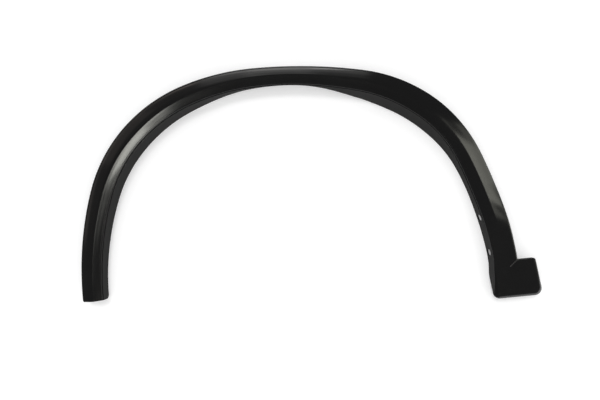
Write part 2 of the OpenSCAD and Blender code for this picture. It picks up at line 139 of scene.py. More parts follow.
crown = np.array([-CROWN_AHEAD, CROWN_H])
front_crown_c = crown - FRONT_CROWN_R * unit(90)
front_shoulder_c = front_crown_c + (FRONT_CROWN_R - FRONT_SHOULDER_R) * unit(90 + FRONT_CROWN_A)
front_turn = 90 + FRONT_CROWN_A + FRONT_SHOULDER_A
front_leg_c = front_shoulder_c + (FRONT_SHOULDER_R - FRONT_LEG_R) * unit(front_turn)
front_end_a = 180 - np.degrees(np.arcsin((FRONT_END_H - front_leg_c[1]) / FRONT_LEG_R))
rear_crown_c = crown - REAR_CROWN_R * unit(90)
rear_shoulder_c = rear_crown_c + (REAR_CROWN_R - REAR_SHOULDER_R) * unit(90 - REAR_CROWN_A)
rear_turn = 90 - REAR_CROWN_A - REAR_SHOULDER_A
rear_leg_c = rear_shoulder_c + (REAR_SHOULDER_R - REAR_LEG_R) * unit(rear_turn)
rear_end_a = np.degrees(np.arcsin((REAR_END_H - rear_leg_c[1]) / REAR_LEG_R))

ARC_C = np.array([front_leg_c, front_shoulder_c, front_crown_c, rear_crown_c, rear_shoulder_c, rear_leg_c])
ARC_R = np.array([FRONT_LEG_R, FRONT_SHOULDER_R, FRONT_CROWN_R, REAR_CROWN_R, REAR_SHOULDER_R, REAR_LEG_R])
ARC_A = np.array([front_end_a, front_turn, 90 + FRONT_CROWN_A, 90, 90 - REAR_CROWN_A, rear_turn, rear_end_a])
ARC_L = ARC_R * np.radians(ARC_A[:-1] - ARC_A[1:])
ARC_START = np.r_[0, np.cumsum(ARC_L)]
EDGE_L = ARC_START[-1]

HAUNCH_S = ARC_START[4]
FRONT_SHOULDER_S = ARC_START[1] + ARC_L[1] / 2
CROWN_S = ARC_START[3] + CUTAWAY_BACK
REAR_SHOULDER_S = HAUNCH_S + ARC_L[4] / 2
STOPS = (0, FRONT_SHOULDER_S, CROWN_S, REAR_SHOULDER_S, EDGE_L - REAR_LEG_UP, EDGE_L)
LEAN_STOPS = (0, FRONT_SHOULDER_S, CROWN_S, HAUNCH_S, REAR_SHOULDER_S, EDGE_L - REAR_LEG_UP, EDGE_L)


def facing(s):
    """Angle that the outer edge faces at the way s, and the arc that s lies on."""
    k = np.clip(np.searchsorted(ARC_START, s, side="right") - 1, 0, len(ARC_R) - 1)
    return ARC_A[k] - np.degrees((s - ARC_START[k]) / ARC_R[k]), k


def place(s):
    """Point of the outer edge at the way s: the arc's centre plus its radius along the angle faced."""
    a, k = facing(s)
    return ARC_C[k] + ARC_R[k][..., None] * unit(a)


def across(s):
    """Angle that a section runs at: square to the edge, turning level over the stretch at each end."""
    a = facing(s)[0] - 180
    return np.where(s < EDGE_L / 2, a * soft(s / FAN_L), a - (a + 180) * soft((s - EDGE_L + FAN_L) / FAN_L))


def drawn_in(s, r):
    """How far a round corner of radius r has drawn in at the distance s from the end."""
    return r - np.sqrt(np.maximum(0, r * r - np.maximum(0, r - s) ** 2))


class Sizes:
    """Measures of the section at the ways s, all as arrays.

    c and w are the places across of the crease and of the inner edge; zo, zc and zi the heights at the outer edge,
    the crease and the inner edge; zf the height of the flange's bottom, and lean how far that stands out past w.
    side and end are how far the front end's round corners have drawn in, and groove is the groove's depth.
    """

    def __init__(self, s):
        self.c = ease(s, STOPS, OUTER_BAND)
        self.w = self.c + ease(s, STOPS, INNER_BAND)
        self.zc = ease(s, STOPS, CREASE_Z)
        fade = 1 - soft((s - EDGE_L + FOOT_FLAT + FOOT_FADE) / FOOT_FADE)
        self.zo = self.zi = self.zc - BAND_DROP * fade
        t = np.minimum(1, np.abs(s - CROWN_S) / (CUTAWAY_L / 2))
        self.zf = CUTAWAY_H * np.cos(np.radians(90 * t)) ** 2 + drawn_in(s, FLANGE_CORNER_R)
        self.lean = (self.zi - self.zf) * np.tan(np.radians(ease(s, LEAN_STOPS, FLANGE_LEAN)))
        self.end = drawn_in(s, END_EDGE_R)
        self.side = drawn_in(s, FACE_CORNER_R)
        self.groove = GROOVE_D * fade
        self.outer_fall = (self.zc - self.zo) / self.c
        self.inner_fall = (self.zc - self.zi) / (self.w - self.c)


# ---------------------------------------------------------------- sections, as [across, height] arrays
def path(*runs):
    """Joins runs of section points, each of shape (stations, points, 2), end to end."""
    return np.concatenate(runs, 1)


def knots(*pairs):
    """Run of section points from pairs of arrays, across and height, over the stations."""
    return np.stack([np.stack(np.broadcast_arrays(*pair), -1) for pair in pairs], 1)


def line(x0, z0, x1, z1, n, ends=(True, True)):
    """n + 1 points on the straight line between two points per station; ends says which are kept."""
    x0, z0, x1, z1 = np.broadcast_arrays(*(np.asarray(v, float) for v in (x0, z0, x1, z1)))
    t = np.linspace(0, 1, n + 1)[0 if ends[0] else 1:n + 1 if ends[1] else n]
    return np.stack([x0[:, None] + (x1 - x0)[:, None] * t, z0[:, None] + (z1 - z0)[:, None] * t], -1)


def bend(x0, z0, xm, zm, x1, z1, n):
    """n + 1 points on the curve (1 - t)^2 p0 + 2 t (1 - t) pm + t^2 p1, from p0 to p1, pulled towards pm."""
    x0, z0, xm, zm, x1, z1 = np.broadcast_arrays(*(np.asarray(v, float) for v in (x0, z0, xm, zm, x1, z1)))
    t = np.linspace(0, 1, n + 1)
    a, b, c = (1 - t) ** 2, 2 * t * (1 - t), t ** 2
    return np.stack([x0[:, None] * a + xm[:, None] * b + x1[:, None] * c,
                     z0[:, None] * a + zm[:, None] * b + z1[:, None] * c], -1)


def wall_run(x, way, top, bottom, r, edge, out, cut, rise, facet=0):
    """Wall from the corner under the face, down its inside, round its bottom and up its outside to the face.

    x is the wall's place across, and way, 1 or -1, points to its inside. At the bottom it is edge thick and leans
    out by out; its inside ends higher by rise, under a face that rises from it. The groove, cut deep, lies under the
    roll and above a narrow ledge. With t from 0 to 1, the roll up to the face goes from the quarter circle
    r (1 - cos 90 t, sin 90 t) to the flat facet r (t, 1 - FACET_FALL (1 - t)), by the share facet.
    """
    x, top, bottom, r, edge, out, cut, rise, facet = np.broadcast_arrays(
        *(np.asarray(v, float) for v in (x, top, bottom, r, edge, out, cut, rise, facet)))
    inner, outer, b = x + way * (edge - out), x - way * out, BOTTOM_ROUND * edge
    inside = line(x + way * (WALL + CORNER_FILL * r), top - WALL + rise, inner, bottom + b, INSIDE_N, (True, False))
    in_round = bend(inner, bottom + b, inner, bottom, inner - way * b, bottom, BOTTOM_N)
    out_round = bend(outer + way * b, bottom, outer, bottom, outer, bottom + b, BOTTOM_N)
    low, high = top - r - GROOVE_W, top - r - GROOVE_SLOPE * GROOVE_W
    share = cut / GROOVE_D                             # the groove and its ledge fade out together
    ledge, small = LEDGE_W * share, LEDGE_R * share
    outside = line(outer, bottom + b, x - way * ledge, low - LEDGE_R, OUTSIDE_N, (False, False))
    groove = knots((x - way * ledge, low - LEDGE_R),
                   (x - way * (ledge - LEDGE_ROUND * small), low - LEDGE_ROUND * LEDGE_R),
                   (x - way * (ledge - small), low),
                   (x + way * GROOVE_SIDE * cut, low + GROOVE_STEP),
                   (x + way * cut, (low + high) / 2),
                   (x + way * GROOVE_SIDE * cut, high))
    t, facet = np.linspace(0, 1, ROLL_N), facet[:, None]
    turn = np.radians(90 * t)
    roll_x = (1 - np.cos(turn)) * (1 - facet) + t * facet
    roll_z = np.sin(turn) * (1 - facet) + (1 - FACET_FALL * (1 - t)) * facet
    roll = np.stack([x[:, None] + way * r[:, None] * roll_x, (top - r)[:, None] + r[:, None] * roll_z], -1)
    return path(inside, in_round, out_round, outside, groove, roll)


def band_run(x0, z0, x1, z1, bulge, n):
    """Band from one point to another, bulging above the straight line by a parabola 4 t (1 - t)."""
    run = line(x0, z0, x1, z1, n, (False, False))
    t = np.linspace(0, 1, n + 1)[1:-1]
    run[..., 1] += np.asarray(bulge)[:, None] * 4 * t * (1 - t)
    return run


def sections(s):
    """Whole closed sections at the ways s, and how many points their walls and their face have.

    A section runs up the outer wall, over the outer band, crease and inner band, down the flange and back
    underneath. The face and both rolls drop at the front end by its rounded edge.
    """
    q, k = Sizes(s), CREASE_HALF_W
    outer = wall_run(q.side, 1, q.zo, q.zo - LIP, EDGE_R, WALL, 0, 0, q.outer_fall * WALL)
    inner = wall_run(q.w, -1, q.zi, q.zf, EDGE_R, FLANGE_EDGE, q.lean, q.groove, q.inner_fall * WALL)
    before, after = (q.c - k, q.zc - k * q.outer_fall), (q.c + k, q.zc - k * q.inner_fall)
    face = path(band_run(q.side + EDGE_R, q.zo, *before, ease(s, STOPS, OUTER_BULGE), BAND_N),
                bend(*before, q.c, q.zc, *after, CREASE_N),
                band_run(*after, q.w - EDGE_R, q.zi, ease(s, STOPS, INNER_BULGE), BAND_N))
    drop = np.zeros(outer.shape[1])                    # the roll's points drop more and more, up to the face
    drop[-ROLL_N:] = np.sin(np.radians(np.linspace(0, 90, ROLL_N)))
    for wall in (outer, inner):
        wall[..., 1] -= q.end[:, None] * drop
    face[..., 1] -= q.end[:, None]
    under_crease, corner = (q.c, q.zc - WALL), WALL + CORNER_FILL * EDGE_R
    under = path(
        line(q.w - corner, q.zi - WALL + q.inner_fall * WALL, *under_crease, UNDER_N, (False, True)),
        line(*under_crease, corner, q.zo - WALL + q.outer_fall * WALL, UNDER_N, (False, False)))
    return path(outer, face, inner[:, ::-1], under), outer.shape[1], face.shape[1]


def lift(s, flat):
    """Section points set at their place along the edge: (s, [x, z]) goes to place(s) + x unit(across(s)), z."""
    base, way = place(s), unit(across(s))
    xy = base[:, None] + flat[..., :1] * way[:, None]
    return np.concatenate([xy, flat[..., 1:]], -1)


def even(a, b, step):
    """Even values from a to b, no further apart than the step, without the last."""
    return np.linspace(a, b, max(1, int(np.ceil((b - a) / step))) + 1)[:-1]


# ---------------------------------------------------------------- the foot's rim
def outline():
    """The foot's outline from the notch round to the wheel's side: places, directions faced, lean left over."""
    end, q = place(np.array([EDGE_L]))[0], Sizes(np.array([EDGE_L]))
    wheel_end = end - [q.w[0], 0]
    notch_c = end + NOTCH_R * unit(rear_end_a)
    top, bottom = notch_c[1] - NOTCH_R, notch_c[1] - NOTCH_R - FOOT_DROP
    ear = np.array([notch_c[0] + EAR_L, top])
    wheel_a = -180 - WHEEL_EDGE_A
    lines = {"top": (90, top), "rear": (REAR_EDGE_A, ear @ unit(REAR_EDGE_A)), "bottom": (-90, -bottom),
             "wheel": (wheel_a, wheel_end @ unit(wheel_a))}

    def corner(a, b, r, n):
        """Points round a corner of radius r between two lines, about its centre c, and the directions they face."""
        (a0, d0), (a1, d1) = lines[a], lines[b]
        c = np.linalg.solve(np.stack([unit(a0), unit(a1)]), [d0 - r, d1 - r])
        t = np.linspace(a0, a1, n + 1)
        return c + r * unit(t), t

    def straight(p0, p1, a, n):
        """n - 1 points between two corners, all facing the same way."""
        t = np.linspace(0, 1, n + 1)[1:-1, None]
        return p0 + (p1 - p0) * t, np.full(n - 1, float(a))

    t = np.linspace(rear_end_a, 90, NOTCH_N)[1:]
    notch = notch_c - NOTCH_R * unit(t), t
    ear_c = corner("top", "rear", EAR_R, EAR_N)
    rear_c = corner("rear", "bottom", REAR_CORNER_R, REAR_CORNER_N)
    front_c = corner("bottom", "wheel", FRONT_CORNER_R, FRONT_CORNER_N)
    wheel = straight(front_c[0][-1], wheel_end, wheel_a, WHEEL_EDGE_N)
    runs = [notch, straight(notch[0][-1], ear_c[0][0], 90, EAR_TOP_N),
            ear_c, straight(ear_c[0][-1], rear_c[0][0], REAR_EDGE_A, REAR_EDGE_N),
            rear_c, straight(rear_c[0][-1], front_c[0][0], -90, LOWER_EDGE_N), front_c, wheel]
    p, a = np.concatenate([run[0] for run in runs]), np.concatenate([run[1] for run in runs])
    left = np.zeros(len(p))
    left[-len(wheel[0]):] = soft(1 - np.linalg.norm(wheel[0] - wheel_end, axis=1) / LEAN_FADE)
    mid = np.array([(wheel_end[0] + ear[0]) / 2, (top + bottom) / 2])
    return p, a, left, dict(notch_c=notch_c, top=top, bottom=bottom, mid=mid, lean=q.lean[0])


def rim(foot_h):
    """The rim's walls: at each place p of the outline, facing a, a wall's point [x, z] goes to p - x unit(a), z.

    The walls are on the same run of points as a section's wall, so the leg's last section joins on at both ends.
    """
    p, a, left, at = outline()
    wheel_side = a < -90                               # past the lower edge, which faces straight down
    z, up = foot_h - RIM, p[:, 1] - at["bottom"]
    bottom = np.where(wheel_side, z * (1 - soft((up - SWEEP_START) / WALL_SWEEP)), z)
    down = soft((at["top"] - p[:, 1]) / FOOT_DROP)
    r = EDGE_R + (FOOT_EDGE_R - EDGE_R) * down
    thinned = WALL + (FLANGE_EDGE - WALL) * soft((up - FRONT_CORNER_R) / WALL_SWEEP)
    edge = np.where(wheel_side, thinned, WALL)
    wall = wall_run(np.zeros(len(p)), 1, foot_h, bottom, r, edge, left * at["lean"], 0, 0, FOOT_FACET * down)
    flat = path(wall, knots((r + FLAT_STRIP, foot_h)))
    xy = p[:, None] - flat[..., :1] * unit(a)[:, None]
    return np.concatenate([xy, flat[..., 1:]], -1), at


# ---------------------------------------------------------------- meshes
def grid_faces(rows, columns):
    """Quads of a grid of points, counted row by row, with its last column joined to the first."""
    i, j = np.meshgrid(np.arange(rows - 1), np.arange(columns), indexing="ij")
    a, b = i * columns + j, i * columns + (j + 1) % columns
    return np.stack([a, b, b + columns, a + columns], -1).reshape(-1, 4)


def smooth_but_sharp(mesh):
    """Shades a mesh smooth, but for the edges that turn by more than SHARP_A."""
    mesh.polygons.foreach_set("use_smooth", np.ones(len(mesh.polygons), bool))
    mesh.set_sharp_from_angle(angle=np.radians(SHARP_A))


def new_piece(name, points, faces):
    """Mesh object from faces and points about the wheel's axis, in millimetres, set about the part's middle."""
    mesh = bpy.data.meshes.new(name)
    mesh.from_pydata(((np.asarray(points) - middle) * inside * MM).tolist(), [], [list(map(int, f)) for f in faces])
    mesh.validate()
    smooth_but_sharp(mesh)
    mesh.update()
    piece = bpy.data.objects.new(name, mesh)
    bpy.context.scene.collection.objects.link(piece)
    return piece


def moulding():
    """Points and faces of the whole shell: sections along the edge, the foot's rim, and flat ends."""
    s = np.concatenate([END_ROWS, even(ROWS_FROM, EDGE_L, ROW_STEP), [EDGE_L]])
    flat, wall_n, face_n = sections(s)
    band = lift(s, flat)
    rows, columns = band.shape[:2]
    ring, at = rim(CREASE_Z[-1])
    points = np.concatenate([band.reshape(-1, 3), ring.reshape(-1, 3)])
    # a section's columns are the outer wall, the face, the inner wall from its top to back, and the underside
    last, back = (rows - 1) * columns, 2 * wall_n + face_n - 1
    # the rim's own rows, with the leg's last section before and after; the last column lies on the flat face
    outer_ids = last + np.arange(wall_n + 1)
    inner_ids = last + back - np.arange(wall_n + 1)
    ring_ids = rows * columns + np.arange(len(ring) * (wall_n + 1)).reshape(-1, wall_n + 1)
    ids = np.concatenate([outer_ids[None], ring_ids, inner_ids[None]])
    walls = np.stack([ids[:-1, :-1], ids[:-1, 1:], ids[1:, 1:], ids[1:, :-1]], -1).reshape(-1, 4)
    front_cap = np.arange(columns)[::-1]
    top = np.concatenate([ring_ids[:, -1], last + np.arange(wall_n + face_n - 1, wall_n - 1, -1)])[::-1]
    below = np.concatenate([ring_ids[::-1, 0], [last], last + np.arange(columns - 1, back - 1, -1)])[::-1]
    return points, list(grid_faces(rows, columns)) + list(walls) + [front_cap, top, below], at


def stations():
    """Ways along the edge of the clip seats, the cross ribs, the locating pins and the fixing holes."""
    gap = (EDGE_L - 2 * CLIP_END) / (CLIP_COUNT - 1)
    clips = CLIP_END + gap * np.arange(CLIP_COUNT)
    between = gap * np.arange(1, RIBS_BETWEEN + 1) / (RIBS_BETWEEN + 1)
    ribs = np.concatenate([[RIB_T], (clips[:-1, None] + between).ravel()])
    pins = np.array([CLIP_END / 2, REAR_SHOULDER_S + REAR_PIN_BACK])
    holes = EDGE_L - LOWER_HOLE_BACK - np.array([HOLE_PITCH, 0])
    return clips, ribs, pins, holes


def level(xy):
    """Points of a plan, [x, y], on the ground."""
    return np.concatenate([xy, np.zeros((len(xy), 1))], 1)


def over(s, x):
    """Points on the ground under the places x across the sections at the ways s."""
    return level(place(s) + np.reshape(x, (-1, 1)) * unit(across(s)))


def axes(s):
    """Directions across the band, up and along it, at the ways s."""
    u = level(unit(across(s)))
    up = np.broadcast_to(UP, u.shape)
    return u, up, np.cross(u, up)


def slabs(outlines, origin, u, v, n, low, high):
    """Prisms, one per outline of k points: origin + x u + y v, between the distances low and high along n."""
    m, k = outlines.shape[:2]
    flat = origin[:, None] + outlines[..., :1] * u[:, None] + outlines[..., 1:] * v[:, None]
    low, high = np.broadcast_to(low, m)[:, None, None], np.broadcast_to(high, m)[:, None, None]
    pts = np.stack([flat + low * n[:, None], flat + high * n[:, None]], 1).reshape(-1, 3)
    first = 2 * k * np.arange(m)[:, None]
    ring = np.arange(k)
    sides = np.stack([ring, (ring + 1) % k, k + (ring + 1) % k, k + ring], -1)
    faces = list((first[:, None] + sides).reshape(-1, 4)) + list(first + ring[::-1]) + list(first + k + ring)
    return pts, faces


def gather(*parts):
    """Joins parts of [points, faces] into one list of each."""
    count = np.cumsum([0] + [len(p) for p, _ in parts])
    return np.concatenate([p for p, _ in parts]), [np.asarray(f) + c for (_, fs), c in zip(parts, count) for f in fs]


def cross_ribs(s):
    """Ribs across the band under the face: each fills the section down to the lip's and half the flange's depth."""
    q = Sizes(s)
    x0, x1 = WALL - BITE, q.w - WALL + BITE
    fall = np.maximum(LIP, RIB_SHARE * (q.zi - q.zf))
    out = fall * (q.lean + WALL - FLANGE_EDGE) / (q.zi - q.zf)
    shape = knots((x0, q.zo - LIP + RIB_BACK), (x1 + out, q.zi - fall),
                  (x1, q.zi - WALL + BITE + q.inner_fall * WALL), (q.c, q.zc - WALL + BITE),
                  (x0, q.zo - WALL + BITE + q.outer_fall * WALL))
    return slabs(shape, over(s, 0), *axes(s), -RIB_T / 2, RIB_T / 2)


def clip_seats(origin, u, up, n, under, left_fall, right_fall):
    """Boxes open at two sides, with a keyhole in the plate that a clip slides into from the flange's side."""
    h, r, half = CLIP_SIDE / 2, CLIP_HOLE_D / 2, CLIP_SLOT_W / 2
    plate_low = under - CLIP_DEPTH
    base = plate_low + RIB_T - HAIR                    # the walls stand on the plate
    wall = knots((-h, base), (h, base), (h, under + BITE - right_fall * h),
                 (0, under + BITE), (-h, under + BITE - left_fall * h))
    mouth = np.degrees(np.arcsin(half / r))
    key = np.concatenate([[[h, half]], r * unit(np.linspace(mouth, 360 - mouth, KEYHOLE_N)),
                          [[h, -half], [h, -h], [-h, -h], [-h, h], [h, h]]])
    plate = np.broadcast_to(key[::-1], (len(origin),) + key.shape)
    return gather(slabs(wall, origin, u, up, n, h - RIB_T, h), slabs(wall, origin, u, up, n, -h, RIB_T - h),
                  slabs(plate, origin, u, -n, up, plate_low, plate_low + RIB_T))


def foot_ribs(at):
    """Ribs behind the foot's face: two running up to the leg, and two across between them."""
    off, inset = CLIP_SIDE / 2 + TOWER_GAP, WALL - BITE
    low, high = CREASE_Z[-1] - RIM + RIB_BACK, CREASE_Z[-1] - WALL + BITE
    long, half = FOOT_DROP / 2 - inset, RIB_T / 2
    slope = FOOT_EDGE_R - EDGE_R                       # the long ribs' lower ends slope off under the rolled edge
    upright = np.array([[-long, low], [long, low], [long, high], [slope - long, high], [-long, high - slope]])
    flat = np.array([[[-off, y - half], [off, y - half], [off, y + half], [-off, y + half]] for y in (-off, off)])
    origin = level(np.tile(at["mid"], (2, 1)))
    x, y, z = (np.tile(v, (2, 1)) for v in (EAST, NORTH, UP))
    beside = origin + np.outer([-off, off], EAST)
    return gather(slabs(np.stack([upright] * 2), beside, y, z, x, -half, half),
                  slabs(flat, origin, x, y, z, low + HAIR, high))


def turned(profile, origin, axis, side, around=ROUND_N):
    """Surface of revolution, capped: a profile point [r, d] goes to origin + r (cos a side + sin a third) + d axis."""
    a = np.radians(np.linspace(0, 360, around + 1)[:-1])
    third = np.cross(axis, side)
    ring = np.cos(a)[:, None] * side + np.sin(a)[:, None] * third
    pts = origin + profile[:, None, :1] * ring + profile[:, None, 1:] * axis
    caps = [np.arange(around)[::-1], (len(profile) - 1) * around + np.arange(around)]
    return pts.reshape(-1, 3), list(grid_faces(len(profile), around)) + caps


def pin_profile(z):
    """Boss and pin from the tip up to the face's back, with small rounds at the corners and a tapered tip."""
    boss, r, low = PIN_D / 2 + PIN_BOSS_RIM, PIN_D / 2, z - PIN_BOSS_L
    tip = low - PIN_L
    return np.array([
        [r - TIP_IN, tip], [r - TIP_MID_IN, tip + TIP_MID_L], [r, tip + TIP_L],
        [r, low - PIN_ROUND], [r + PIN_ROUND_IN, low - PIN_ROUND_IN], [r + PIN_ROUND, low],
        [boss - PIN_ROUND, low], [boss - PIN_ROUND_OUT, low + PIN_ROUND_OUT], [boss, low + PIN_ROUND], [boss, z]])


def mitre_line(at):
    """The fine raised line on the face, from the notch towards the crease: a half-sunk rod with drawn-out tips."""
    r, along = MITRE_R, np.append(unit(180 + MITRE_A), 0)
    start = np.append(at["notch_c"], CREASE_Z[-1] + MITRE_H - r) + (NOTCH_R + EDGE_R) * along
    a = np.radians(np.linspace(MITRE_TIP_A, 90, MITRE_TIP_N))
    tip = np.stack([r * np.sin(a), r * (1 - np.cos(a)) * MITRE_TIP_STRETCH], -1)
    rod = np.concatenate([tip, [[r, MITRE_L / 2]], (tip * [1, -1] + [0, MITRE_L])[::-1]])
    return turned(rod, start, along, UP)


def hole_bars(s):
    """Bars that cut the fixing holes at the ways s, square to the flange's outside."""
    q, turns = Sizes(s), across(s)
    run, rise = q.lean + q.groove, q.zi - EDGE_R - GROOVE_W - q.zf
    centres = over(s, q.w + q.lean - run * (HOLE_H - q.zf) / rise) + [0, 0, HOLE_H]
    bar = np.array([[HOLE_D / 2, -HOLE_CUT / 2], [HOLE_D / 2, HOLE_CUT / 2]])
    for centre, turn, slope in zip(centres, turns, np.arctan(run / rise)):
        axis = np.append(np.cos(slope) * unit(turn), np.sin(slope))
        side = np.array([-axis[1], axis[0], 0]) / np.hypot(axis[0], axis[1])
        yield turned(bar, centre, axis, side, HOLE_N)


def bored(piece, cutters):
    """Cuts the cutters out of a piece and keeps the result as its mesh."""
    for c in cutters:
        cut = piece.modifiers.new("bore", "BOOLEAN")
        cut.operation, cut.solver, cut.object = "DIFFERENCE", "EXACT", c
    bpy.context.view_layer.update()
    old, solved = piece.data, piece.evaluated_get(bpy.context.evaluated_depsgraph_get())
    mesh = bpy.data.meshes.new_from_object(solved)
    piece.modifiers.clear()
    piece.data = mesh
    mesh.name = old.name
    for c in cutters:
        bpy.data.objects.remove(c)
    smooth_but_sharp(mesh)
    bpy.data.meshes.remove(old)


def bevelled(piece, width):
    """Rounds a piece's sharp edges a little."""
    bevel = piece.modifiers.new("round", "BEVEL")
    bevel.width, bevel.segments = width * MM, 2
    bevel.limit_method, bevel.angle_limit = "ANGLE", np.radians(BEVEL_ABOVE_A)


points, faces, foot = moulding()
low, high = points.min(0), points.max(0)
middle = (low + high) / 2 * [1, 1, 0]
# the solid's edge is a chain of straight steps, so the true arcs are drawn in by a hair to lie inside its box
inside = np.minimum(1, (np.array(CAD_BOX[1]) - CAD_BOX[0]) / MM / (high - low))
clips_s, ribs_s, pins_s, holes_s = stations()

shell = new_piece("arch_trim_shell", points, faces)
bored(shell, [new_piece("cutter", *bar) for bar in hole_bars(holes_s)])

ribs = new_piece("arch_trim_ribs", *gather(cross_ribs(ribs_s), foot_ribs(foot)))
bevelled(ribs, RIB_BEVEL)

cq = Sizes(clips_s)
along_arch = clip_seats(over(clips_s, cq.c), *axes(clips_s), cq.zc - WALL, cq.outer_fall, cq.inner_fall)
on_foot = clip_seats(level(foot["mid"][None]), EAST[None], UP[None], -NORTH[None],
                     np.array([CREASE_Z[-1] - WALL]), 0, 0)
seats = new_piece("arch_trim_clip_seats", *gather(along_arch, on_foot))
bevelled(seats, SEAT_BEVEL)

pq = Sizes(pins_s)
pins = new_piece("arch_trim_pins", *gather(*(
    turned(pin_profile(z), at, UP, EAST)
    for at, z in zip(over(pins_s, pq.c), pq.zc - WALL + BITE))))

mitre = new_piece("arch_trim_mitre_line", *mitre_line(foot))

PIECES = [shell, ribs, seats, pins, mitre]
for piece in PIECES:
    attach(piece, "root")
    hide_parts("arch_trim")


# ---------------------------------------------------------------- material
# Noise scales, in cells per metre, and each noise's share where two are added.
GRAIN_CELLS, GRAIN_BREAK, WEAR_PATCHES, FLOW_MARKS, CLOUDS = 1500.0, 900.0, 60.0, 9.0, 70.0
CELL_SHARE, CLOUD_SHARE, FLOW_STRETCH = 0.5, 0.35, 2.5
# What counts as a worn edge, a patch of wear and a drift of tone, and what wear and drift do.
WORN_FROM, WORN_TO, PATCH_FROM, PATCH_TO, DRIFT_FROM, DRIFT_TO = 0.52, 0.62, 0.42, 0.7, 0.3, 0.7
WEAR_TONE, WEAR_MOST, WEAR_POLISH, DRIFT_ROUGHNESS = (0.012, 0.012, 0.012), 0.4, -0.04, 0.015
# The roughness of upright walls and of the face, and how far up the surface looks where each holds.
WALL_ROUGHNESS, FACE_ROUGHNESS, WALL_UPNESS, FACE_UPNESS = 0.88, 0.14, 0.25, 0.7
# The grain's bump, with its height in metres, and the plastic's two tones on the trim; the raised line's two lighter
# tones are a painted highlight along it.
GRAIN_STRENGTH, GRAIN_HEIGHT = 0.1, 0.0001
BLACK = (0.0050, 0.0049, 0.0049), (0.0062, 0.0062, 0.0063)
RAISED_LINE_PAINTED_HIGHLIGHT = (0.030, 0.029, 0.028), (0.044, 0.043, 0.041)


def add_node(nt, kind, **inputs):
    """New node; inputs are given by socket name with _ for a space, as values or as sockets to link from."""
    n = nt.nodes.new(kind)
    for key, v in inputs.items():
        socket = n.inputs[int(key[1:])] if key[0] == "i" and key[1:].isdigit() else n.inputs[key.replace("_", " ")]
        if isinstance(v, bpy.types.NodeSocket):
            nt.links.new(v, socket)
        else:
            socket.default_value = v
    return n


def node_group(name, output, build):
    """Node group from a vector to one number; build(nt, vector) returns that number's socket."""
    nt = bpy.data.node_groups.new(name, "ShaderNodeTree")
    nt.interface.new_socket(name="Vector", in_out="INPUT", socket_type="NodeSocketVector")
    nt.interface.new_socket(name=output, in_out="OUTPUT", socket_type="NodeSocketFloat")
    start, end = nt.nodes.new("NodeGroupInput"), nt.nodes.new("NodeGroupOutput")
    nt.links.new(build(nt, start.outputs[0]), end.inputs[0])
    return nt


def math_node(nt, operation, a, b=0.0, c=0.0):
    """Result of a math node on sockets or values."""
    n = add_node(nt, "ShaderNodeMath", i0=a, i1=b, i2=c)
    n.operation = operation
    return n.outputs[0]


def span(nt, value, low, high, to_low, to_high):
    """Value carried from one range to another, held inside it."""
    return add_node(nt, "ShaderNodeMapRange", Value=value, From_Min=low, From_Max=high,
                    To_Min=to_low, To_Max=to_high).outputs[0]


def noise(nt, vector, scale, detail, roughness=0.5):
    """Noise between 0 and 1, at a scale in cells per metre."""
    return add_node(nt, "ShaderNodeTexNoise", Vector=vector, Scale=scale, Detail=detail, Roughness=roughness).outputs[0]


def build_grain(nt, vector):
    """Moulded grain: cells of a few tenths of a millimetre, with a softer noise that breaks them up."""
    cells = add_node(nt, "ShaderNodeTexVoronoi", Vector=vector, Scale=GRAIN_CELLS)
    softer = noise(nt, vector, GRAIN_BREAK, 3.0, 0.6)
    return math_node(nt, "ADD", math_node(nt, "MULTIPLY", cells.outputs["Distance"], CELL_SHARE), softer)


def build_wear(nt, vector):
    """Edge wear: where the surface turns sharply outwards, broken up by noise."""
    pointed = add_node(nt, "ShaderNodeNewGeometry").outputs["Pointiness"]
    bend_out = span(nt, pointed, WORN_FROM, WORN_TO, 0.0, 1.0)
    patches = span(nt, noise(nt, vector, WEAR_PATCHES, 4.0, 0.65), PATCH_FROM, PATCH_TO, 0.0, 1.0)
    return math_node(nt, "MULTIPLY", bend_out, patches)


def build_drift(nt, vector):
    """Slow drift over the moulding: broad flow marks with finer cloudiness, between 0 and 1."""
    stretched = add_node(nt, "ShaderNodeMapping", Vector=vector, Scale=(1.0, 1.0, FLOW_STRETCH)).outputs[0]
    broad, fine = noise(nt, stretched, FLOW_MARKS, 2.0), noise(nt, vector, CLOUDS, 4.0, 0.6)
    both = math_node(nt, "MULTIPLY_ADD", fine, CLOUD_SHARE, math_node(nt, "MULTIPLY", broad, 1 - CLOUD_SHARE))
    return span(nt, both, DRIFT_FROM, DRIFT_TO, 0.0, 1.0)


GRAIN = node_group("moulded_grain", "Height", build_grain)
WEAR = node_group("edge_wear", "Mask", build_wear)
DRIFT = node_group("slow_drift", "Factor", build_drift)


